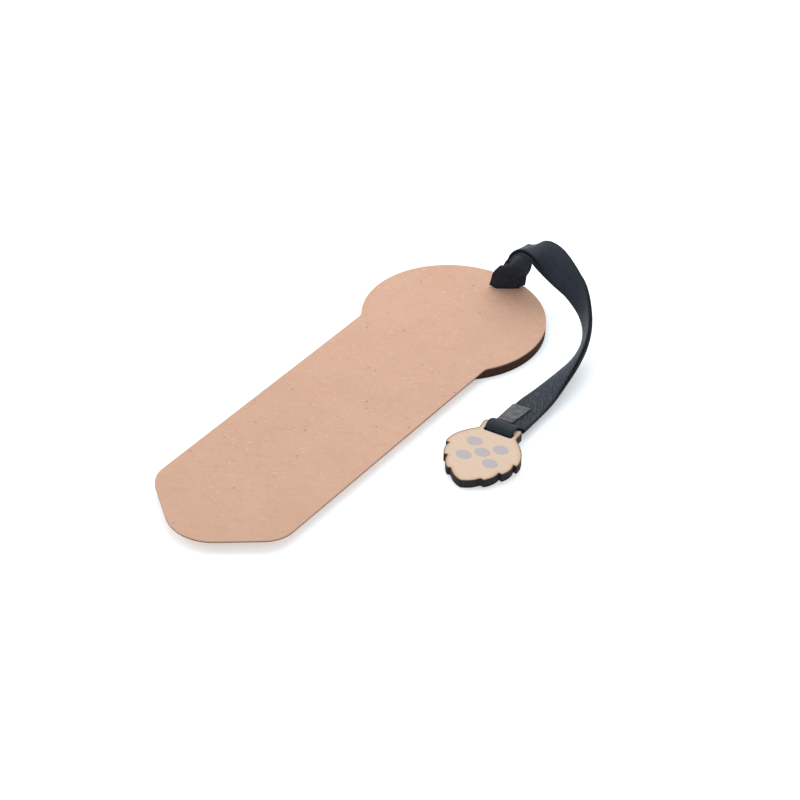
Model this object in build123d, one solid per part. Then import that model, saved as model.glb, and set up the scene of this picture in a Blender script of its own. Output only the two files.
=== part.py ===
from build123d import *
from math import asin, atan, atan2, cos, degrees, hypot, pi, radians, sin, sqrt, tan
import os

# Bookmark: a kraft card with a round head, a wooden disc glued under the head, and a
# doubled ribbon that stands in a slot near the head's rim and ends in a wooden cone charm.
# Millimetres, +Z up. The card's long axis is Y, with the head at +Y. The origin is on
# the surface that the disc rests on, under the middle of the card.

# Card
card_length = 175.0
card_thickness = 0.7
head_diameter = 62.0
strip_width = 50.0
tail_drop = 20.3
tail_tip_radius = 15.0
tail_shoulder_radius = 11.0
neck_radius = 3.0

# Wooden disc and the adhesive film that holds the card to it
disc_thickness = 3.0
film_thickness = 0.1
film_inset = 1.0

# Ribbon
ribbon_width = 10.0
ribbon_thickness = 0.6
layer_gap = 0.14

# Hitch: the ribbon stands up out of a slot in the card, its foot glued in a pocket of the disc
slot_x = 4.6
slot_from_rim = 5.4
slot_turn = 38.0
slot_length = 8.8
slot_width = 1.9
gathered_width = 8.0
pocket_depth = 1.5
pocket_reach = 9.0
pocket_clearance = 0.4
foot_clearance = 0.15
foot_bend_radius = 0.9
swing_height = 6.0
swing_gap = 0.45

# Charm: a cone with ears at the ends of the bar that the ribbon goes round
wood_thickness = 3.0
charm_x = 48.2
charm_y = 14.1
strap_turn = 1.5
charm_turn = 6.5
charm_aside = 1.0
loop_width = 9.6
bar_width = 2.4
slot_end_clearance = 0.25
bar_clearance = 0.45
loop_slot_clearance = 0.55
loop_floor_clearance = 0.05
loop_end_clearance = 0.25
ear_points = [(5.8, 1.6), (6.7, 0.8), (6.5, -3.1)]
charm_tip_reach = 28.7
scale_tips = [(12.5, 14.6), (10.2, 20.1), (6.4, 25.2)]
scale_step = 1.2
scale_rise = 0.3
shoulder_bulge = 1.9
scale_bulge = 0.7
tip_bulge = 0.4

# Folded label on the ribbon's edge
label_length = 9.7
label_width = 6.7
label_thickness = 0.5
label_clearance = 0.05
label_fold_radius = 0.9

# Route of the doubled ribbon from the swing line at the hitch to the charm: points of
# its middle line and the direction across it, chosen by eye
strap_route = [
    ((4.3, 82.6, 8.6), (0.788, 0.616, 0.0)),
    ((6.7, 82.9, 12.4), (0.76, 0.64, -0.10)),
    ((7.5, 82.8, 16.2), (0.32, 0.94, -0.08)),
    ((7.9, 82.5, 19.4), (-0.08, 0.97, -0.22)),
    ((11.0, 82.9, 21.4), (-0.02, 0.92, -0.38)),
    ((15.0, 83.2, 22.7), (-0.03, 0.98, 0.06)),
    ((19.4, 83.6, 21.2), (0.17, 0.86, 0.48)),
    ((23.7, 82.7, 19.3), (0.34, 0.66, 0.66)),
    ((28.5, 81.3, 17.4), (0.45, 0.42, 0.78)),
    ((33.5, 80.1, 14.8), (0.42, 0.10, 0.90)),
    ((39.4, 76.1, 11.8), (0.31, -0.20, 0.93)),
    ((44.1, 70.1, 8.6), (0.30, -0.23, 0.92)),
    ((46.6, 61.8, 6.1), (0.47, -0.13, 0.87)),
    ((47.2, 52.3, 4.6), (0.72, -0.06, 0.69)),
    ((47.5, 43.3, 3.7), (0.88, 0.0, 0.47)),
    ((47.8, 36.3, 3.2), (0.97, 0.03, 0.20)),
]
strap_end_reach = 4.4
strap_end_lift = 0.1
strap_straight = 11.4
stations_per_run = 5

# Sizes that follow from the ones above
head_radius = head_diameter / 2
head_y = card_length / 2 - head_radius
slot_from_head_centre = head_radius - slot_from_rim
card_bottom = disc_thickness + film_thickness
card_top = card_bottom + card_thickness
doubled = 2 * ribbon_thickness
strap_thickness = doubled + layer_gap
layer_offset = (ribbon_thickness + layer_gap) / 2
loop_inner = hypot(bar_width / 2, wood_thickness / 2) + bar_clearance
loop_middle = loop_inner + ribbon_thickness / 2
bar_height = loop_inner + ribbon_thickness + loop_floor_clearance
slot_wall = loop_inner + ribbon_thickness + loop_slot_clearance
ear_inner = loop_width / 2 + slot_end_clearance
hitch_frame = Pos(slot_x, head_y + slot_from_head_centre, 0) * Rot(0, 0, slot_turn)
strap_frame = Pos(charm_x, charm_y, bar_height) * Rot(0, 0, strap_turn)
loop_frame = strap_frame * Pos(-charm_aside, 0, 0)
charm_frame = loop_frame * Rot(0, 0, charm_turn - strap_turn)


def card_outline():
    """Keyhole outline: round head, straight strip, blunt V tail with rounded corners."""
    half_width = strip_width / 2
    half_angle = atan2(half_width, tail_drop)
    tip_y = -card_length / 2 - tail_tip_radius * (1 / sin(half_angle) - 1)
    shoulder_y = tip_y + tail_drop
    corners = [
        (-half_width, head_y),
        (half_width, head_y),
        (half_width, shoulder_y),
        (0, tip_y),
        (-half_width, shoulder_y),
    ]
    strip = make_face(Polyline(*corners, close=True))
    outline = Pos(0, head_y) * Circle(head_radius) + strip
    by_height = outline.vertices().group_by(Axis.Y)
    outline = fillet(by_height[0], tail_tip_radius)
    by_height = [v for v in outline.vertices() if abs(v.Y - shoulder_y) < 0.01]
    outline = fillet(by_height, tail_shoulder_radius)
    neck_y = head_y - sqrt(head_radius**2 - half_width**2)
    necks = [v for v in outline.vertices() if abs(v.Y - neck_y) < 0.01]
    return fillet(necks, neck_radius)


def rim_slot():
    """Slot for the ribbon near the head's rim, in the card's plane."""
    return hitch_frame * SlotOverall(slot_length, slot_width)


def kraft_card():
    card = extrude(card_outline() - rim_slot(), card_thickness)
    return Pos(0, 0, card_bottom) * card


def foot_pocket(height):
    """Space for the ribbon's foot, from the slot towards the head's middle."""
    width = gathered_width + 2 * pocket_clearance
    size = (Align.CENTER, Align.MAX, Align.MIN)
    return hitch_frame * Pos(0, slot_width / 2, 0) * Box(width, pocket_reach + slot_width, height, align=size)


def head_disc():
    """Disc under the head, with a pocket in its upper face for the ribbon's foot."""
    solid = Pos(0, head_y, 0) * extrude(Circle(head_radius), disc_thickness)
    return solid - Pos(0, 0, disc_thickness - pocket_depth) * foot_pocket(pocket_depth)


def adhesive_film():
    film = extrude(Pos(0, head_y) * Circle(head_radius - film_inset), film_thickness)
    return Pos(0, 0, disc_thickness) * (film - foot_pocket(film_thickness) - extrude(rim_slot(), film_thickness))


def flat_sweep(path, width, thickness):
    """Flat band of this width, square to the plane that its path lies in."""
    start = Plane(origin=path @ 0, x_dir=(1, 0, 0), z_dir=path % 0)
    return sweep(start * Rectangle(width, thickness), path)


def ribbon_hitch():
    """Both layers: the foot in the disc's pocket, then up through the slot to the swing line."""
    foot_height = disc_thickness - foot_clearance - doubled / 2
    foot_end = slot_width / 2 - pocket_reach - slot_width + pocket_clearance
    turns = [
        (0, foot_end, foot_height),
        (0, 0, foot_height),
        (0, 0, swing_height),
    ]
    path = FilletPolyline(*turns, radius=foot_bend_radius)
    return hitch_frame * flat_sweep(path, gathered_width, doubled)


def corner_radii(points):
    """Largest arc at each corner: 0.45 of the shorter run, over the tangent of half the turn."""
    radii = []
    for before, here, after in zip(points, points[1:], points[2:]):
        turn = radians((here - before).get_angle(after - here))
        shorter = min((here - before).length, (after - here).length)
        radii.append(0.45 * shorter / tan(turn / 2))
    return radii


def ribbon_band(name, route, thickness, offset=0.0, start_gap=0.0):
    """Flat band along a route: rectangles square to the path, turned to the direction
    across that the route gives, and joined by ruled faces."""
    points = [Vector(point) for point, across in route]
    crosses = [Vector(across) for point, across in route]
    radii = corner_radii(points)
    path = FilletPolyline(*points, radius=radii)
    runs = [0.0]
    for before, here in zip(points, points[1:]):
        runs.append(runs[-1] + (here - before).length)
    count = stations_per_run * (len(points) - 1)
    first = start_gap / path.length
    sections = []
    for k in range(count + 1):
        share = first + (1 - first) * k / count
        along = share * runs[-1]
        span = max(i for i in range(len(runs) - 1) if runs[i] <= along + 1e-9)
        part = (along - runs[span]) / (runs[span + 1] - runs[span])
        tangent = path % share
        across = crosses[span] * (1 - part) + crosses[span + 1] * part
        across = (across - tangent * across.dot(tangent)).normalized()
        face_up = tangent.cross(across)
        section = Plane(origin=path @ share + face_up * offset, x_dir=across, z_dir=tangent)
        sections.append(section * Rectangle(ribbon_width, thickness))
    band = loft(sections, ruled=True)
    plain = ribbon_width * thickness * path.length * (1 - first)
    print(name, "radii", [round(r, 1) for r in radii], "length", round(path.length, 1))
    print(name, "volume", round(band.volume, 1), "section times length", round(plain, 1))
    return band


def strap_start():
    """First point of the free ribbon, on the swing line above the slot."""
    place = hitch_frame * Pos(0, 0, swing_height)
    side = hitch_frame * Pos(1, 0, swing_height)
    return [(place.position, side.position - place.position)]


def strap_end():
    """Last two points of the ribbon, straight and level where the label holds it."""
    height = strap_end_lift
    near = strap_frame * Pos(0, strap_end_reach, height)
    far = strap_frame * Pos(0, strap_end_reach + strap_straight, height)
    side = strap_frame * Pos(1, strap_end_reach, height)
    across = side.position - near.position
    return [(far.position, across), (near.position, across)]


def ribbon_layer(name, offset):
    """One of the two layers of the free ribbon."""
    route = strap_start() + strap_route + strap_end()
    return ribbon_band(name, route, ribbon_thickness, offset, swing_gap)


def loop_tangent(lift, side):
    """Point where the ribbon from a layer's end first touches the loop round the bar."""
    reach = hypot(strap_end_reach, lift)
    angle = pi - atan2(lift, strap_end_reach) - side * asin(sqrt(1 - (loop_middle / reach) ** 2))
    return loop_middle * cos(angle), loop_middle * sin(angle)


def ribbon_charm_loop():
    """One layer of ribbon round the charm's bar, from the lower layer's end to the upper's."""
    upper_lift = strap_end_lift + layer_offset
    lower_lift = strap_end_lift - layer_offset
    end_y = strap_end_reach - loop_end_clearance
    upper_s, upper_z = loop_tangent(upper_lift, 1)
    lower_s, lower_z = loop_tangent(lower_lift, -1)
    upper = Line((0, end_y, upper_lift), (0, -upper_s, upper_z))
    round_bar = ThreePointArc((0, -upper_s, upper_z), (0, -loop_middle, 0), (0, -lower_s, lower_z))
    lower = Line((0, -lower_s, lower_z), (0, end_y, lower_lift))
    path = Wire([upper.edge(), round_bar.edge(), lower.edge()])
    return loop_frame * flat_sweep(path, loop_width, ribbon_thickness)


def edge_label():
    """Folded label: one strip wrapped round the ribbon's edge, over and under both layers."""
    inside = strap_thickness + 2 * label_clearance
    outside = inside + 2 * label_thickness
    edge = -ribbon_width / 2 - label_clearance
    outer = Pos(edge - label_thickness + label_width / 2, 0) * Rectangle(label_width, outside)
    outer = fillet(outer.vertices().group_by(Axis.X)[0], label_fold_radius)
    space = Pos(edge + label_width / 2, 0) * Rectangle(label_width, inside)
    section = Plane(origin=(0, strap_end_reach, strap_end_lift), x_dir=(1, 0, 0), z_dir=(0, -1, 0))
    fold = extrude(section * (outer - space), -label_length)
    return strap_frame * fold


def charm_side():
    """Right side of the cone, from the ear's tip down over its stepped scales to the tip."""
    side = [Line(above, below) for above, below in zip(ear_points, ear_points[1:])]
    start = ear_points[-1]
    bulge = shoulder_bulge
    for half, reach in scale_tips:
        middle = ((start[0] + half) / 2 + bulge, (start[1] - reach) / 2)
        side.append(ThreePointArc(start, middle, (half, -reach)))
        start = (half - scale_step, -reach + scale_rise)
        side.append(Line((half, -reach), start))
        bulge = scale_bulge
    middle = (start[0] / 2 + tip_bulge, (start[1] - charm_tip_reach) / 2 - tip_bulge)
    side.append(ThreePointArc(start, middle, (0, -charm_tip_reach)))
    return side


def charm():
    """Laser-cut cone, its ears and bar; it lies on its tip and on the ribbon round its bar."""
    side = charm_side()
    ear_top = side[0] @ 0
    inner_top = (ear_inner, bar_width / 2)
    right = Wire([Line((0, bar_width / 2), inner_top).edge(), Line(inner_top, ear_top).edge()]
                 + [piece.edge() for piece in side])
    left = right.mirror(Plane.YZ)
    outline = make_face(right.edges() + left.edges())
    gap = slot_wall - bar_width / 2
    slot = Pos(0, -bar_width / 2 - gap / 2) * Rectangle(2 * ear_inner, gap)
    body = extrude(outline - slot, wood_thickness / 2, both=True)
    reach = hypot(charm_tip_reach, wood_thickness / 2)
    tilt = degrees(asin(bar_height / reach) - atan(wood_thickness / 2 / charm_tip_reach))
    return charm_frame * Rot(tilt, 0, 0) * body


nodes = {
    "kraft_card": kraft_card(),
    "adhesive_film": adhesive_film(),
    "head_disc": head_disc(),
    "ribbon_hitch": ribbon_hitch(),
    "ribbon_upper_layer": ribbon_layer("ribbon_upper_layer", layer_offset),
    "ribbon_lower_layer": ribbon_layer("ribbon_lower_layer", -layer_offset),
    "ribbon_charm_loop": ribbon_charm_loop(),
    "edge_label": edge_label(),
    "charm": charm(),
}

os.makedirs("parts", exist_ok=True)
for node, shape in nodes.items():
    export_step(shape, f"parts/{node}.step")
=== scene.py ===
import bpy
import numpy as np
from mathutils import Matrix, Vector


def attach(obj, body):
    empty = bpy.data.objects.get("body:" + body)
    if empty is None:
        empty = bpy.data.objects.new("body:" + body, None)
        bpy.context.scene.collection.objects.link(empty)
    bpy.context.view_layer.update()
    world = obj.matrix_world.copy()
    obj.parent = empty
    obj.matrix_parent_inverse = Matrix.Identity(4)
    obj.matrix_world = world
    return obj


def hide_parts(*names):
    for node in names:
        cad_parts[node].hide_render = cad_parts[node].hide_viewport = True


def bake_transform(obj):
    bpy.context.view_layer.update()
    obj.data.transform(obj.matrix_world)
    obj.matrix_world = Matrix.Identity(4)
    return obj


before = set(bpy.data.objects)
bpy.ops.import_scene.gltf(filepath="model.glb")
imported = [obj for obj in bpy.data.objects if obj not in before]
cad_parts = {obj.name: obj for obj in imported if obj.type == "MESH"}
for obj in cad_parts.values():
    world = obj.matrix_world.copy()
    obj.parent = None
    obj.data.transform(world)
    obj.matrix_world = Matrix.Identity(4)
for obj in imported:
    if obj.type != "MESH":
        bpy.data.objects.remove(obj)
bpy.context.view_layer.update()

# Camera, floor and light
# The view looks down past the tail's right side through a long lens, a little rolled. The white floor
# glows as a light table does, more so away from the part. A white surround, a broad lamp behind the
# left side and two more distant ones at the left and in front stand in for a light tent.
eye = Vector((0.3832, -0.5502, 0.5023))
aim = Vector((0.0127, 0.0071, 0.0038))
roll = np.radians(2.44)
back = (eye - aim).normalized()
right = Vector((0, 0, 1)).cross(back).normalized()
up = back.cross(right)
rolled = Matrix((right, up, back)).transposed() @ Matrix.Rotation(roll, 3, "Z")
camera = bpy.data.objects.new("camera", bpy.data.cameras.new("camera"))
camera.data.lens = 117.3
camera.data.sensor_width = 36
camera.data.sensor_fit = "HORIZONTAL"
camera.data.clip_start = 0.01
camera.matrix_world = Matrix.Translation(eye) @ rolled.to_4x4()
bpy.context.scene.collection.objects.link(camera)
bpy.context.scene.camera = camera


def finish(name, roughness):
    """A new material of this roughness, its node tree and its shader."""
    material = bpy.data.materials.new(name)
    material.use_nodes = True
    shader = material.node_tree.nodes["Principled BSDF"]
    shader.inputs["Roughness"].default_value = roughness
    return material, material.node_tree, shader


def add(tree, kind, values, **settings):
    """A node with its settings. Each socket gets a plain value, or the socket that feeds it."""
    node = tree.nodes.new(kind)
    for key, value in settings.items():
        setattr(node, key, value)
    for key, value in values.items():
        if isinstance(value, bpy.types.NodeSocket):
            tree.links.new(value, node.inputs[key])
        else:
            node.inputs[key].default_value = value
    return node


def soft_lamp(name, size, power, place):
    """A round lamp of this size and power at a place, turned to face the origin."""
    lamp = bpy.data.objects.new(name, bpy.data.lights.new(name, "AREA"))
    lamp.data.shape = "DISK"
    lamp.data.size = size
    lamp.data.energy = power
    away = Vector(place)
    lamp.matrix_world = Matrix.Translation(away) @ away.to_track_quat("Z", "Y").to_matrix().to_4x4()
    bpy.context.scene.collection.objects.link(lamp)


floor_side = 3.0
floor_level = -0.00005
floor_corners = np.array([(-1, -1, 0), (1, -1, 0), (1, 1, 0), (-1, 1, 0)]) * floor_side + (0, 0, floor_level)
floor_mesh = bpy.data.meshes.new("floor")
floor_mesh.from_pydata(floor_corners.tolist(), [], [(0, 1, 2, 3)])
floor = bpy.data.objects.new("floor", floor_mesh)
white_floor, tree, shader = finish("white_floor", 0.9)
shader.inputs["Base Color"].default_value = (0.79, 0.86, 0.91, 1)
shader.inputs["Specular IOR Level"].default_value = 0.0
shader.inputs["Emission Color"].default_value = (1.0, 0.99, 0.98, 1)
place = add(tree, "ShaderNodeTexCoord", {}).outputs["Object"]
reach = add(tree, "ShaderNodeVectorMath", {0: place}, operation="LENGTH").outputs["Value"]
glow_range = {"From Min": 0.15, "From Max": 0.60, "To Min": 0.34, "To Max": 0.60}
glow = add(tree, "ShaderNodeMapRange", {"Value": reach, **glow_range}).outputs["Result"]
tree.links.new(glow, shader.inputs["Emission Strength"])
floor_mesh.materials.append(white_floor)
bpy.context.scene.collection.objects.link(floor)

surround = bpy.data.worlds.new("surround")
surround.use_nodes = True
surround.node_tree.nodes["Background"].inputs["Color"].default_value = (1, 1, 1, 1)
surround.node_tree.nodes["Background"].inputs["Strength"].default_value = 0.72
bpy.context.scene.world = surround
bpy.context.scene.view_settings.view_transform = "Standard"
soft_lamp("broad_lamp", 0.68, 2.0, (-0.14, 0.27, 0.43))
soft_lamp("side_lamp", 0.6, 2.0, (-0.85, -0.20, 0.50))
soft_lamp("front_lamp", 0.5, 1.5, (0.20, -0.95, 0.14))

# Kraft card
# A keyhole-shaped blank of 0.7 mm brown kraft board, with a slot for the ribbon near the head's rim.
# The face shows pale fibres, reddish smears and a few dark specks. The edge is cut by laser, and its
# lower part is painted dark brown as painted shade, for the dark line under the edge.
kraft_dark = (0.520, 0.320, 0.228, 1)
kraft_middle = (0.560, 0.350, 0.253, 1)
kraft_pale = (0.600, 0.380, 0.280, 1)
smear_colour = (0.500, 0.285, 0.205, 1)
fibre_colour = (0.72, 0.475, 0.345, 1)
strand_colour = (0.45, 0.265, 0.185, 1)
speck_colour = (0.22, 0.12, 0.08, 1)
card_edge_shade_colour = (0.085, 0.042, 0.025, 1)
cut_colour = (0.46, 0.285, 0.195, 1)
fibre_turn = -0.586
edge_shade_full_height = 0.00338
edge_shade_end_height = 0.00362
edge_shade_waver = 0.0002


def shades(tree, factor, *stops):
    """Colour ramp over (place, linear colour) stops, with straight runs between them."""
    node = add(tree, "ShaderNodeValToRGB", {"Fac": factor})
    for place, _ in stops[2:]:
        node.color_ramp.elements.new(place)
    for element, (place, colour) in zip(node.color_ramp.elements, stops):
        element.position = place
        element.color = colour
    return node.outputs["Color"]


def mixed(tree, factor, one, other):
    """One colour times what the factor leaves of 1, plus another colour times the factor."""
    return add(tree, "ShaderNodeMix", {0: factor, 6: one, 7: other}, data_type="RGBA").outputs[2]


def times(tree, one, other):
    """One number times another."""
    return add(tree, "ShaderNodeMath", {0: one, 1: other}, operation="MULTIPLY").outputs[0]


def plus(tree, one, other):
    """One number plus another."""
    return add(tree, "ShaderNodeMath", {0: one, 1: other}, operation="ADD").outputs[0]


def unsigned(tree, number):
    """A number without its sign."""
    return add(tree, "ShaderNodeMath", {0: number}, operation="ABSOLUTE").outputs[0]


def span(tree, value, low, high, to_low=0.0, to_high=1.0):
    """A number's share of the way from low to high, clamped and smoothed."""
    values = {"Value": value, "From Min": low, "From Max": high, "To Min": to_low, "To Max": to_high}
    return add(tree, "ShaderNodeMapRange", values, interpolation_type="SMOOTHSTEP").outputs["Result"]


def noise(tree, place, scale, detail=3.0, roughness=0.6, stretch=(1, 1, 1), turn=0.0):
    """Noise over a place that is first turned about Z and then stretched."""
    turned = add(tree, "ShaderNodeMapping", {"Vector": place, "Rotation": (0, 0, turn)}).outputs[0]
    flat_run_light = add(tree, "ShaderNodeMapping", {"Vector": turned, "Scale": stretch}).outputs[0]
    values = {"Vector": flat_run_light, "Scale": scale, "Detail": detail, "Roughness": roughness}
    return add(tree, "ShaderNodeTexNoise", values).outputs["Fac"]


def flatness(tree):
    """How far a face of a piece that never turns looks up or down, from 0 for a side to 1."""
    normal = add(tree, "ShaderNodeNewGeometry", {}).outputs["Normal"]
    return unsigned(tree, add(tree, "ShaderNodeSeparateXYZ", {0: normal}).outputs["Z"])


def surface(tree, shader, colour, roughness, height, strength, depth):
    """Links a colour and a roughness to a shader, and a bump of this strength and depth from a height."""
    bump = add(tree, "ShaderNodeBump", {"Height": height, "Strength": strength, "Distance": depth})
    tree.links.new(colour, shader.inputs["Base Color"])
    tree.links.new(roughness, shader.inputs["Roughness"])
    tree.links.new(bump.outputs[0], shader.inputs["Normal"])


def dress(node, material):
    """Gives a CAD node this material alone."""
    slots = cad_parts[node].data.materials
    slots.clear()
    slots.append(material)


kraft, tree, shader = finish("kraft_board", 0.82)
shader.inputs["Specular IOR Level"].default_value = 0.25
place = add(tree, "ShaderNodeTexCoord", {}).outputs["Object"]
cloudy = noise(tree, place, 60, 3)
grain = noise(tree, place, 1500, 4, 0.7)
strand = noise(tree, place, 1.0, 2, 0.5, (260, 1500, 1), fibre_turn)
fleck = noise(tree, place, 1.0, 2, 0.6, (420, 1150, 1), fibre_turn)
smear = noise(tree, place, 1.0, 4, 0.65, (230, 340, 1), fibre_turn)
gathered = noise(tree, place, 150, 2)
fibre = times(tree, span(tree, fleck, 0.61, 0.69), span(tree, gathered, 0.40, 0.60, 0.15, 1.0))
specks = add(tree, "ShaderNodeTexVoronoi", {"Vector": place, "Scale": 330.0}, voronoi_dimensions="2D")
speck_chance = add(tree, "ShaderNodeSeparateColor", {0: specks.outputs["Color"]}).outputs[1]
speck_spot = span(tree, specks.outputs["Distance"], 0.17, 0.06)
speck = times(tree, speck_spot, span(tree, speck_chance, 0.945, 0.985))
tone = plus(tree, times(tree, cloudy, 0.35), times(tree, grain, 0.65))
face = shades(tree, tone, (0.30, kraft_dark), (0.50, kraft_middle), (0.72, kraft_pale))
face = mixed(tree, times(tree, span(tree, smear, 0.50, 0.72), 0.38), face, smear_colour)
face = mixed(tree, times(tree, fibre, 0.70), face, fibre_colour)
face = mixed(tree, times(tree, span(tree, strand, 0.60, 0.74), 0.35), face, strand_colour)
face = mixed(tree, times(tree, speck, 0.6), face, speck_colour)
height = add(tree, "ShaderNodeSeparateXYZ", {0: place}).outputs["Z"]
# Painted shade: below a wavering height the cut edge turns dark brown.
edge_shade_line = plus(tree, height, times(tree, noise(tree, place, 900, 2), edge_shade_waver))
cut = shades(tree, span(tree, edge_shade_line, edge_shade_full_height, edge_shade_end_height), (0.0, card_edge_shade_colour), (1.0, cut_colour))
colour = mixed(tree, span(tree, flatness(tree), 0.4, 0.6), cut, face)
relief = plus(tree, grain, times(tree, fibre, 0.4))
surface(tree, shader, colour, span(tree, tone, 0.3, 0.7, 0.90, 0.74), relief, 0.16, 0.00012)
dress("kraft_card", kraft)

# Wooden disc
# A 3 mm disc of pale close-grained wood, cut by laser, under the head. The cut side is charred dark
# brown with upright scorch marks, and the lower face keeps its grain inside a smoked rim.
char_dark = (0.026, 0.011, 0.008, 1)
char_middle = (0.042, 0.0165, 0.0105, 1)
char_pale = (0.062, 0.026, 0.016, 1)
wood_dark = (0.50, 0.34, 0.20, 1)
wood_middle = (0.64, 0.47, 0.30, 1)
wood_pale = (0.71, 0.54, 0.37, 1)
pore_colour = (0.36, 0.22, 0.12, 1)
smoked_colour = (0.10, 0.055, 0.033, 1)
head_y = 0.0565
smoke_start = 0.0293
smoke_full = 0.0320
smoke_waver = 0.0016

charred, tree, shader = finish("charred_wood", 0.62)
shader.inputs["Specular IOR Level"].default_value = 0.1
place = add(tree, "ShaderNodeTexCoord", {}).outputs["Object"]
centred = add(tree, "ShaderNodeMapping", {"Vector": place, "Location": (0, -head_y, 0)}).outputs[0]
level = add(tree, "ShaderNodeVectorMath", {0: centred, 1: (1, 1, 0)}, operation="MULTIPLY").outputs[0]
reach = add(tree, "ShaderNodeVectorMath", {0: level}, operation="LENGTH").outputs["Value"]
streak = noise(tree, place, 1.0, 4, 0.7, (900, 900, 60))
lines = noise(tree, place, 1.0, 5, 0.65, (520, 22, 1))
pores = noise(tree, place, 1.0, 2, 0.5, (2600, 160, 1))
burn = shades(tree, streak, (0.30, char_dark), (0.52, char_middle), (0.75, char_pale))
wood = shades(tree, lines, (0.28, wood_dark), (0.52, wood_middle), (0.75, wood_pale))
wood = mixed(tree, times(tree, span(tree, pores, 0.60, 0.72), 0.35), wood, pore_colour)
ragged = plus(tree, reach, times(tree, noise(tree, place, 350, 3), smoke_waver))
wood = mixed(tree, span(tree, ragged, smoke_start, smoke_full), wood, smoked_colour)
colour = mixed(tree, span(tree, flatness(tree), 0.4, 0.6), burn, wood)
relief = plus(tree, streak, lines)
surface(tree, shader, colour, span(tree, streak, 0.3, 0.7, 0.6, 0.8), relief, 0.3, 0.0002)
dress("head_disc", charred)

# Adhesive film
# A thin milky sheet of glue that joins the card to the disc, a little short of the rim.
# It shows only as a hairline between the two.
glue_dark = (0.46, 0.38, 0.29, 1)
glue_pale = (0.60, 0.52, 0.42, 1)
glue, tree, shader = finish("glue_film", 0.35)
place = add(tree, "ShaderNodeTexCoord", {}).outputs["Object"]
colour = shades(tree, noise(tree, place, 400, 3), (0.3, glue_dark), (0.7, glue_pale))
tree.links.new(colour, shader.inputs["Base Color"])
dress("adhesive_film", glue)

# Ribbon
# A 10 mm woven twill ribbon in blue-black, folded double. It stands up out of the card's slot, curls
# over, runs down in one arch beside the head and lies along the floor to the charm.
ribbon_width = 0.0100
ribbon_thickness = 0.0006
gathered_share = 0.80
face_points = 26
route = np.array([
    (0.0046, 0.0821, 0.0029),
    (0.0046, 0.0821, 0.0060),
    (0.0043, 0.0826, 0.0086),
    (0.0067, 0.0829, 0.0124),
    (0.0075, 0.0828, 0.0162),
    (0.0079, 0.0825, 0.0194),
    (0.0110, 0.0829, 0.0214),
    (0.0150, 0.0832, 0.0227),
    (0.0194, 0.0836, 0.0212),
    (0.0237, 0.0827, 0.0193),
    (0.0285, 0.0813, 0.0174),
    (0.0335, 0.0801, 0.0148),
    (0.0394, 0.0761, 0.0118),
    (0.0441, 0.0701, 0.0086),
    (0.0466, 0.0618, 0.0061),
    (0.0472, 0.0523, 0.0046),
    (0.0475, 0.0433, 0.0037),
    (0.0478, 0.0363, 0.0032),
    (0.0478, 0.0299, 0.00312),
    (0.0481, 0.0185, 0.00312),
])
# Direction across the ribbon at each point of its route
lean = np.array([
    (0.788, 0.616, 0.0),
    (0.788, 0.616, 0.0),
    (0.788, 0.616, 0.0),
    (0.76, 0.64, -0.10),
    (0.32, 0.94, -0.08),
    (-0.08, 0.97, -0.22),
    (-0.02, 0.92, -0.38),
    (-0.03, 0.98, 0.06),
    (0.17, 0.86, 0.48),
    (0.34, 0.66, 0.66),
    (0.45, 0.42, 0.78),
    (0.42, 0.10, 0.90),
    (0.31, -0.20, 0.93),
    (0.30, -0.23, 0.92),
    (0.47, -0.13, 0.87),
    (0.72, -0.06, 0.69),
    (0.88, 0.0, 0.47),
    (0.97, 0.03, 0.20),
    (0.9997, 0.0262, 0.0),
    (0.9997, 0.0262, 0.0),
])


def smooth_lines(lines):
    """NURBS lines of order 3 with these control points, read back as one array of points each."""
    curve = bpy.data.curves.new("ribbon_lines", "CURVE")
    curve.dimensions = "3D"
    curve.resolution_u = 14
    for points in lines:
        spline = curve.splines.new("NURBS")
        spline.points.add(len(points) - 1)
        spline.points.foreach_set("co", np.c_[points, np.ones(len(points))].ravel())
        spline.order_u = 3
        spline.use_endpoint_u = True
    holder = bpy.data.objects.new("ribbon_lines", curve)
    bpy.context.scene.collection.objects.link(holder)
    mesh = bpy.data.meshes.new_from_object(holder)
    found = np.empty(len(mesh.vertices) * 3)
    mesh.vertices.foreach_get("co", found)
    bpy.data.objects.remove(holder)
    bpy.data.meshes.remove(mesh)
    return found.reshape(len(lines), -1, 3)


def unit(vectors):
    """Vectors divided by their lengths."""
    return vectors / np.linalg.norm(vectors, axis=-1, keepdims=True)


def run_of(line):
    """Length along a line up to each of its points: the sum of the steps before it."""
    return np.r_[0, np.cumsum(np.linalg.norm(np.diff(line, axis=0), axis=1))]


def eased(share):
    """A share kept between 0 and 1, as a column: three times its square, less twice its cube."""
    share = np.clip(share, 0, 1)[:, None]
    return share**2 * (3 - 2 * share)


def swell(run, middle, reach):
    """A bell curve along a line, as a column: the number e to the power of minus the square of the
    distance from the middle over the reach."""
    return np.exp(-((run - middle) / reach) ** 2)[:, None]


def band_section(width, thickness):
    """Section of a flat band, once round: two straight faces joined by half-round edges."""
    reach = (width - thickness) / 2
    face = np.c_[np.linspace(-reach, reach, face_points), np.full(face_points, thickness / 2)]
    turn = np.linspace(np.pi / 2, -np.pi / 2, 8)[1:-1, None]
    edge = np.c_[reach + thickness / 2 * np.cos(turn), thickness / 2 * np.sin(turn)]
    return np.concatenate([face, edge, face[::-1] * (1, -1), -edge])


def carried(line, across, rise, section):
    """A section carried along a line: each point of the line, plus the section's first number
    times the direction across there, plus its second number times the direction of rise."""
    return line[:, None] + section[:, :1] * across[:, None] + section[:, 1:] * rise[:, None]


def cloth_map(section, run):
    """UV places of a carried section: its first number with the sign turned, and the run."""
    return np.stack(np.broadcast_arrays(-section[None, :, 0], run[:, None]), -1)


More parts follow.
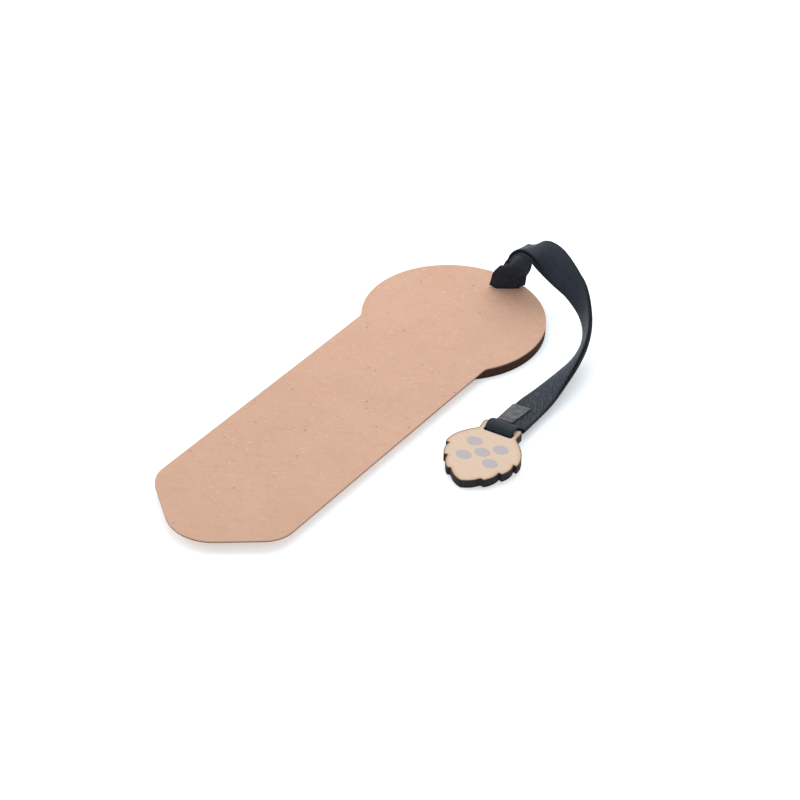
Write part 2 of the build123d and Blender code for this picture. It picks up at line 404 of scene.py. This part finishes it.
def shell(grids, maps):
    """Vertices, faces and UV places of closed shells. In each, quads join a section to the next one
    and its last point to its first, and one face closes each end."""
    vertices, faces, places, first = [], [], [], 0
    for grid, uv in zip(grids, maps):
        stations, count = grid.shape[:2]
        last = first + (stations - 1) * count
        i, j = np.mgrid[0:stations - 1, 0:count]
        here, beside = first + i * count + j, first + i * count + (j + 1) % count
        faces += np.stack([here, here + count, beside + count, beside], -1).reshape(-1, 4).tolist()
        faces += [list(range(first, first + count)), list(range(last, last + count))[::-1]]
        vertices.append(grid.reshape(-1, 3))
        places.append(uv.reshape(-1, 2))
        first += stations * count
    return np.concatenate(vertices), faces, np.concatenate(places)


def piece(name, vertices, faces, places, *materials):
    """A mesh object at the origin with these materials, a UV map in millimetres and smooth faces
    that break at sharp edges."""
    mesh = bpy.data.meshes.new(name)
    mesh.from_pydata(vertices.tolist(), [], faces)
    corner = np.empty(len(mesh.loops), int)
    mesh.loops.foreach_get("vertex_index", corner)
    millimetres = (places[corner] * 1000).ravel().astype(np.float32)
    mesh.uv_layers.new(name="cloth").uv.foreach_set("vector", millimetres)
    mesh.shade_smooth()
    mesh.set_sharp_from_angle(angle=np.radians(40))
    for material in materials:
        mesh.materials.append(material)
    made = bpy.data.objects.new(name, mesh)
    bpy.context.scene.collection.objects.link(made)
    return made


half = lean * ribbon_width / 2
middle, near, far = smooth_lines([route, route - half, route + half])
ahead = unit(np.gradient(middle, axis=0))
across = far - near
across = unit(across - ahead * (across * ahead).sum(1, keepdims=True))
rise = np.cross(ahead, across)
along = run_of(middle)

# The ribbon is gathered inside the slot and opens to its full width over a short run above it. From
# there on its layers part, and slip sideways past each other, by an amount for each stretch of it.
slot_mouth = 0.00098
opening_run = 0.0004
layer_play = 0.00007
base_bow = 0.0012
opened = eased((along - slot_mouth) / opening_run)
base = opened * swell(along, 0, 0.0042)
leg = opened * swell(along, 0, 0.0130)
curl = opened * swell(along, 0.015, 0.010)
arch = swell(along, 0.029, 0.012)
slack = swell(along, 0.078, 0.013)
parting = ribbon_thickness / 2 + layer_play + 0.00042 * curl + 0.00018 * slack
upper_slip = 0.0018 * leg - 0.0007 * base + 0.0004 * curl + 0.0004 * arch
lower_slip = 0.0011 * base + 0.0006 * curl + 0.0008 * arch - 0.0004 * slack
spread = across * (gathered_share + (1 - gathered_share) * opened)
section = band_section(ribbon_width, ribbon_thickness)
left_share = np.clip(-section[:, :1] * 2 / ribbon_width, 0, 1)
bow = base_bow * base[:, None] * left_share**2 * rise[:, None]
upper = carried(middle + rise * parting + across * upper_slip, spread, rise, section) + bow
lower = carried(middle - rise * parting - across * lower_slip, spread, rise, section) + bow
uv = cloth_map(section, along)

twill_dark = (0.0040, 0.0080, 0.0145, 1)
twill_pale = (0.0195, 0.0270, 0.0425, 1)
worn_colour = (0.018, 0.023, 0.033, 1)
painted_highlight_colour = (0.046, 0.051, 0.066, 1)
ribbon_edge_shade_colour = (0.003, 0.004, 0.006, 1)
highlight_turn = np.radians(61)


def waves(tree, place, direction, scale, distortion, detail=2.0, detail_scale=1.0):
    """Bands across a direction: a sine of the place, bent by noise of this distortion and detail."""
    values = {"Vector": place, "Scale": scale, "Distortion": distortion}
    values |= {"Detail": detail, "Detail Scale": detail_scale}
    return add(tree, "ShaderNodeTexWave", values, bands_direction=direction).outputs["Fac"]


twill, tree, shader = finish("twill_ribbon", 0.62)
shader.inputs["Sheen Weight"].default_value = 0.10
shader.inputs["Sheen Roughness"].default_value = 0.4
shader.inputs["Sheen Tint"].default_value = (0.74, 0.84, 1.0, 1)
shader.inputs["Specular IOR Level"].default_value = 0.24
cloth = add(tree, "ShaderNodeUVMap", {}, uv_map="cloth").outputs[0]
cloth_axes = add(tree, "ShaderNodeSeparateXYZ", {0: cloth}).outputs
steep = add(tree, "ShaderNodeMapping", {"Vector": cloth, "Scale": (1, 0.55, 1)}).outputs[0]
ribs = waves(tree, steep, "DIAGONAL", 0.55, 1.6, 3.0, 1.1)
yarn = waves(tree, cloth, "Y", 1.1, 0.8, 1.0)
fuzz = noise(tree, cloth, 1.7, 4, 0.7)
worn = noise(tree, cloth, 0.22, 3, 0.6)
# Painted light: from 45 to 80 mm along the ribbon, where it lies flat, the weave shows stronger in colour and
# the painted highlight grows. The ribs also come and go in random patches.
flat_run_light = span(tree, cloth_axes["Y"], 45.0, 80.0, 0.4, 1.0)
rib_patches_and_light = times(tree, span(tree, noise(tree, cloth, 0.45, 3), 0.35, 0.65, 0.15, 0.7), flat_run_light)
weave = plus(tree, times(tree, ribs, rib_patches_and_light), times(tree, yarn, 0.35))
tint = plus(tree, times(tree, weave, 0.45), times(tree, fuzz, 0.55))
# Painted highlight: pale diagonal streaks, stronger where the ribbon lies flat on the floor.
highlight_streaks = noise(tree, cloth, 1.0, 2, 0.6, (0.36, 1.4, 1), highlight_turn)
painted_highlight = times(tree, span(tree, highlight_streaks, 0.50, 0.64), span(tree, flat_run_light, 0.4, 1.0, 0.12, 0.75))
# Painted shade: both edges of the ribbon darken, for the shaded sides of its two layers.
ribbon_edge_shade = span(tree, unsigned(tree, cloth_axes["X"]), 4.3, 4.7)
black = shades(tree, tint, (0.22, twill_dark), (0.68, twill_pale))
black = mixed(tree, span(tree, worn, 0.35, 0.75, 0.0, 0.4), black, worn_colour)
black = mixed(tree, painted_highlight, black, painted_highlight_colour)
black = mixed(tree, times(tree, ribbon_edge_shade, 0.75), black, ribbon_edge_shade_colour)
relief = plus(tree, weave, times(tree, fuzz, 0.5))
surface(tree, shader, black, span(tree, tint, 0.2, 0.8, 0.70, 0.52), relief, 0.7, 0.00010)

strap = piece("ribbon_strap", *shell([upper, lower], [uv, uv]), twill)
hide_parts("ribbon_upper_layer", "ribbon_lower_layer")
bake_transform(strap)

# Ribbon's foot
# The ribbon's two ends, pressed flat together, turn under the card and lie glued in a shallow
# pocket of the disc. They turn a quarter circle from level to upright inside the slot.
slot_place = np.array((0.0046, 0.0821, 0))
slot_turn = np.radians(38)
slot_side = np.array((np.cos(slot_turn), np.sin(slot_turn), 0))
slot_out = np.array((-np.sin(slot_turn), np.cos(slot_turn), 0))
upright = np.array((0, 0, 1))
foot_reach = 0.0097
foot_bend = 0.0009
foot_height = 0.00225
bend = np.linspace(0, np.pi / 2, 9)
sole = np.linspace(-foot_reach, -foot_bend, 12)[:-1]
foot_out = np.r_[sole, -foot_bend + foot_bend * np.sin(bend)]
foot_up = np.r_[np.full(len(sole), foot_height), foot_height + foot_bend - foot_bend * np.cos(bend)]
foot_line = slot_place + foot_out[:, None] * slot_out + foot_up[:, None] * upright
foot_side = np.broadcast_to(slot_side, foot_line.shape)
foot_rise = np.cross(unit(np.gradient(foot_line, axis=0)), foot_side)
foot_section = band_section(gathered_share * ribbon_width, 2 * ribbon_thickness)
foot_grid = carried(foot_line, foot_side, foot_rise, foot_section)
foot = piece("ribbon_foot", *shell([foot_grid], [cloth_map(foot_section, run_of(foot_line))]), twill)
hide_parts("ribbon_hitch")
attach(foot, "bookmark")

# Ribbon's loop
# The fold at the ribbon's far end, which goes through the charm's slot and round its bar. It leaves
# the upper layer, goes round the bar in a circle and comes back to the lower layer.
strap_turn = np.radians(1.5)
strap_side = np.array((np.cos(strap_turn), np.sin(strap_turn), 0))
charm_turn = np.radians(6.5)
bar_place = np.array((0.0472, 0.01407, 0.00302))
loop_aside = 0.0010
loop_settle = 0.0024
loop_gather = 0.026
loop_route = np.array([
    (0.00445, 0.00047),
    (0.0032, 0.0013),
    (0.0009, 0.00268),
    (-0.00185, 0.00258),
    (-0.0029, 0.0),
    (-0.00185, -0.00258),
    (0.0009, -0.00268),
    (0.0032, -0.0012),
    (0.00445, -0.00027),
])
loop_flat = smooth_lines([np.c_[np.zeros(len(loop_route)), loop_route]])[0]
loop_along = run_of(loop_flat)
drawn_in = eased(np.minimum(loop_along, loop_along[-1] - loop_along) / loop_settle)
loop_turn = strap_turn + (charm_turn - strap_turn) * drawn_in
loop_sideways = np.hstack([np.cos(loop_turn), np.sin(loop_turn), 0 * loop_turn])
loop_back = np.hstack([-np.sin(loop_turn), np.cos(loop_turn), 0 * loop_turn])
loop_line = bar_place + loop_flat[:, 1:2] * loop_back + loop_flat[:, 2:] * upright
loop_line = loop_line + strap_side * loop_aside * (1 - drawn_in)
loop_rise = np.cross(unit(np.gradient(loop_line, axis=0)), loop_sideways)
loop_grid = carried(loop_line, loop_sideways * (1 - loop_gather * drawn_in), loop_rise, section)
loop = piece("ribbon_loop", *shell([loop_grid], [cloth_map(section, loop_along)]), twill)
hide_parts("ribbon_charm_loop")
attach(loop, "strap")

# Folded label
# A bare strip of grey woven tape, folded round the ribbon's left edge over both layers and pressed
# flat, just before the charm. It follows the ribbon's own line there, a little askew and tapered.
label_length = 0.0097
label_reach = 0.0067
label_thickness = 0.0005
label_play = 0.00005
label_stations = 24
lip_points = 16
inner_half = 0.00072
inner_round = 0.0004
outer_round = 0.0009
fold_depth = 0.0010
taper_start = -0.0040
taper = 0.22
skew = 0.13
skew_middle = 0.0010
tape_dark = (0.030, 0.030, 0.037, 1)
tape_pale = (0.095, 0.096, 0.110, 1)
tape_thread = (0.045, 0.046, 0.054, 1)


def read_at(run, values):
    """Rows of values along the ribbon, read at these runs: straight steps between its points."""
    return np.stack([np.interp(run, along, column) for column in values.T], 1)


tape_run = along[-1] - np.linspace(label_length, 0, label_stations)
label_line = read_at(tape_run, middle)
label_side = unit(read_at(tape_run, across))
label_rise = unit(read_at(tape_run, rise))
inner_edge = -ribbon_width / 2 - label_play
outer_edge = inner_edge - label_thickness
outer_half = inner_half + label_thickness
fold = np.linspace(np.pi / 2, 3 * np.pi / 2, 15)
outer_fold = np.c_[outer_edge + outer_round + outer_round * np.cos(fold), outer_half * np.sin(fold)]
inner_fold = np.c_[inner_edge + inner_round + inner_round * np.cos(fold), inner_half * np.sin(fold)]
lip = np.linspace(outer_edge + label_reach, outer_edge + fold_depth, lip_points)
outside = np.c_[lip, np.full(lip_points, outer_half)]
inside = np.c_[lip, np.full(lip_points, inner_half)]
outer_rim = [outside, outer_fold, outside[::-1] * (1, -1)]
inner_rim = [inside * (1, -1), inner_fold[::-1], inside[::-1]]
label_section = np.concatenate(outer_rim + inner_rim)
from_taper = label_section[:, 0] - taper_start
narrowing = 1 - taper * np.linspace(0, 1, label_stations)[:, None]
sideways = (from_taper * np.where(from_taper > 0, narrowing, 1.0) + taper_start)[:, :, None]
label_back = np.cross(label_rise, label_side)[:, None]
label_grid = label_line[:, None] + sideways * label_side[:, None] + label_section[:, 1:] * label_rise[:, None]
label_grid = label_grid + label_back * (sideways - skew_middle) * skew

tape, tree, shader = finish("label_tape", 0.5)
cloth = add(tree, "ShaderNodeUVMap", {}, uv_map="cloth").outputs[0]
warp = waves(tree, cloth, "X", 0.9, 0.5)
weft = waves(tree, cloth, "Y", 0.9, 0.5)
threads = plus(tree, times(tree, warp, 0.5), times(tree, weft, 0.5))
rubbed = noise(tree, cloth, 0.45, 4, 0.65)
grey = shades(tree, rubbed, (0.38, tape_dark), (0.62, tape_pale))
grey = mixed(tree, times(tree, threads, 0.3), grey, tape_thread)
surface(tree, shader, grey, span(tree, rubbed, 0.3, 0.7, 0.6, 0.42), threads, 0.35, 0.0001)
label = piece("folded_label", *shell([label_grid], [cloth_map(-label_section, tape_run)]), tape)
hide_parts("edge_label")
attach(label, "strap")

# Wooden charm
# A flat cone laser-cut from the same 3 mm wood, with stepped scales down its sides, two ears and a
# bar at the top. The face is pale with a scorched rim and grey printed dots, and the sides are charred.
wood_thickness = 0.0030
bar_half = 0.0012
ear_inner = 0.00505
ear_points = [(0.0058, 0.0016), (0.0067, 0.0008), (0.0065, -0.0031)]
slot_floor = -0.00352
corner_side = 0.00055
corner_rise = 0.00042
cone_tip = -0.0287
scale_tips = [(0.0125, -0.0146), (0.0102, -0.0201), (0.0064, -0.0252)]
scale_step = 0.0012
scale_rise = 0.0003
shoulder_bow = 0.0019
scale_bow = 0.0007
tip_bow = 0.0004
charm_tilt = np.radians(3.042)
face_rings = 34
ring_power = 1.7
wall_levels = 5


def bowed(start, end, bow, count):
    """A line from start to end that bows out by a given amount at its middle: the straight line
    plus four times the bow times the share gone times the share left."""
    share = np.linspace(0, 1, count, endpoint=False)[:, None]
    return np.array(start) * (1 - share) + np.array(end) * share + 4 * np.array(bow) * share * (1 - share)


ear_line = [(0, bar_half), (ear_inner, bar_half)] + ear_points
straight = (0, 0)
flank = [bowed(*ends, straight, count) for *ends, count in zip(ear_line, ear_line[1:], (14, 8, 6, 14))]
start, bow = ear_points[-1], shoulder_bow
for tip in scale_tips:
    flank += [bowed(start, tip, (bow, 0), 34)]
    start, bow = (tip[0] - scale_step, tip[1] + scale_rise), scale_bow
    flank += [bowed(tip, start, straight, 6)]
flank += [bowed(start, (0, cone_tip), (tip_bow, -tip_bow), 18)]
flank = np.concatenate(flank)
rim = np.concatenate([flank, [(0, cone_tip)], flank[:0:-1] * (-1, 1)])
for softening in range(2):
    rim = (np.roll(rim, 1, axis=0) + 2 * rim + np.roll(rim, -1, axis=0)) / 4

# The slot is a rectangle with its two lower corners cut. Each point of the rim has a partner on the
# slot's edge, on the straight line to the slot's middle, and the face spans from one to the other.
slot_middle = np.array((0, (slot_floor - bar_half) / 2))
slot_half = np.array((ear_inner, -(slot_floor + bar_half) / 2))
ray = rim - slot_middle
past_sides = np.abs(ray / slot_half).max(1)
corner_reach = corner_rise * (slot_half[0] - corner_side) + corner_side * slot_half[1]
past_corners = (corner_rise * np.abs(ray[:, 0]) - corner_side * ray[:, 1]) / corner_reach
hole = slot_middle + ray / np.maximum(past_sides, past_corners)[:, None]
step = 1 - np.linspace(1, 0, face_rings)[:, None, None] ** ring_power
face_grid = hole + (rim - hole) * step
from_edge = np.sqrt(((face_grid[:, :, None] - rim) ** 2).sum(-1).min(-1))
count = len(rim)
levels = np.linspace(wood_thickness / 2, -wood_thickness / 2, wall_levels + 2)[1:-1]
top = np.dstack([face_grid, np.full((face_rings, count), wood_thickness / 2)])
wall = np.stack([np.c_[rim, np.full(count, z)] for z in levels])
bottom = np.dstack([face_grid, np.full((face_rings, count), -wood_thickness / 2)])[::-1]
slot_wall = np.stack([np.c_[hole, np.full(count, z)] for z in levels[::-1]])
skin = np.concatenate([top, wall, bottom, slot_wall])
i, j = np.mgrid[0:len(skin), 0:count]
next_row, next_place = (i + 1) % len(skin), (j + 1) % count
corners = [i * count + j, next_row * count + j, next_row * count + next_place, i * count + next_place]
charm_faces = np.stack(corners, -1).reshape(-1, 4).tolist()
charm_pose = Matrix.Rotation(charm_turn, 3, "Z") @ Matrix.Rotation(charm_tilt, 3, "X")
charm_vertices = skin.reshape(-1, 3) @ np.array(charm_pose).T + bar_place
charm_places = skin.reshape(-1, 3)[:, :2]

basswood_dark = (0.560, 0.415, 0.290, 1)
basswood_middle = (0.600, 0.455, 0.335, 1)
basswood_pale = (0.635, 0.495, 0.385, 1)
basswood_pore = (0.50, 0.34, 0.22, 1)
blush_colour = (0.65, 0.455, 0.36, 1)
ink_dark = (0.33, 0.31, 0.33, 1)
ink_pale = (0.43, 0.405, 0.43, 1)
toasted_colour = (0.50, 0.28, 0.13, 1)
scorched_colour = (0.085, 0.042, 0.022, 1)
grain_turn = 0.5
dots_turn = np.radians(45)
dots_middle = 13.6

basswood, tree, shader = finish("charm_wood", 0.55)
flat_map = add(tree, "ShaderNodeUVMap", {}, uv_map="cloth").outputs[0]
lines = noise(tree, flat_map, 1.0, 5, 0.65, (0.16, 1.9, 1), grain_turn)
pores = noise(tree, flat_map, 1.0, 3, 0.6, (0.5, 6.0, 1), grain_turn)
blush = span(tree, noise(tree, flat_map, 0.22, 3), 0.45, 0.70, 0.0, 0.5)
wood = shades(tree, lines, (0.28, basswood_dark), (0.52, basswood_middle), (0.75, basswood_pale))
wood = mixed(tree, times(tree, span(tree, pores, 0.58, 0.72), 0.12), wood, basswood_pore)
wood = mixed(tree, blush, wood, blush_colour)
centred = add(tree, "ShaderNodeMapping", {"Vector": flat_map, "Location": (0, dots_middle, 0)}).outputs[0]
squeezed = add(tree, "ShaderNodeMapping", {"Vector": centred, "Scale": (0.155, 0.190, 1)}).outputs[0]
lattice = add(tree, "ShaderNodeMapping", {"Vector": squeezed, "Rotation": (0, 0, dots_turn)}).outputs[0]
lattice_cells = {"Vector": lattice, "Scale": 1.0, "Randomness": 0.0}
dots = add(tree, "ShaderNodeTexVoronoi", lattice_cells, voronoi_dimensions="2D").outputs
cell = add(tree, "ShaderNodeVectorMath", {0: dots["Position"]}, operation="LENGTH").outputs["Value"]
printed = times(tree, span(tree, dots["Distance"], 0.42, 0.39), span(tree, cell, 1.30, 1.25))
ink = shades(tree, noise(tree, flat_map, 3.0, 3, 0.7), (0.3, ink_dark), (0.7, ink_pale))
wood = mixed(tree, times(tree, printed, 0.92), wood, ink)
inward = add(tree, "ShaderNodeAttribute", {}, attribute_name="from_edge").outputs["Fac"]
uneven = plus(tree, inward, times(tree, noise(tree, flat_map, 0.9, 3), -0.35))
wood = mixed(tree, span(tree, uneven, 1.5, 0.25, 0.0, 0.45), wood, toasted_colour)
wood = mixed(tree, span(tree, uneven, 0.28, 0.02, 0.0, 0.9), wood, scorched_colour)
relief = plus(tree, lines, pores)
surface(tree, shader, wood, span(tree, pores, 0.3, 0.7, 0.5, 0.66), relief, 0.15, 0.0001)

side_dark = (0.008, 0.006, 0.007, 1)
side_middle = (0.020, 0.016, 0.018, 1)
side_pale = (0.042, 0.030, 0.030, 1)
charred_side, tree, shader = finish("charred_side", 0.6)
shader.inputs["Specular IOR Level"].default_value = 0.15
place = add(tree, "ShaderNodeTexCoord", {}).outputs["Object"]
streak = noise(tree, place, 1.0, 4, 0.7, (1100, 1100, 90))
burn = shades(tree, streak, (0.3, side_dark), (0.55, side_middle), (0.8, side_pale))
surface(tree, shader, burn, span(tree, streak, 0.3, 0.7, 0.6, 0.8), streak, 0.35, 0.0002)

charm = piece("cone_charm", charm_vertices, charm_faces, charm_places, basswood, charred_side)
row = np.repeat(np.arange(len(skin)), count)
on_rim = (row >= face_rings - 1) & (row < face_rings + wall_levels)
in_slot = row >= 2 * face_rings + wall_levels - 1
charm.data.polygons.foreach_set("material_index", (on_rim | in_slot).astype(np.int32))
at_edge = np.zeros((wall_levels, count))
edge_rows = np.concatenate([from_edge, at_edge, from_edge[::-1], at_edge])
edge_millimetres = (edge_rows * 1000).ravel().astype(np.float32)
charm.data.attributes.new("from_edge", "FLOAT", "POINT").data.foreach_set("value", edge_millimetres)
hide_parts("charm")
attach(charm, "charm")
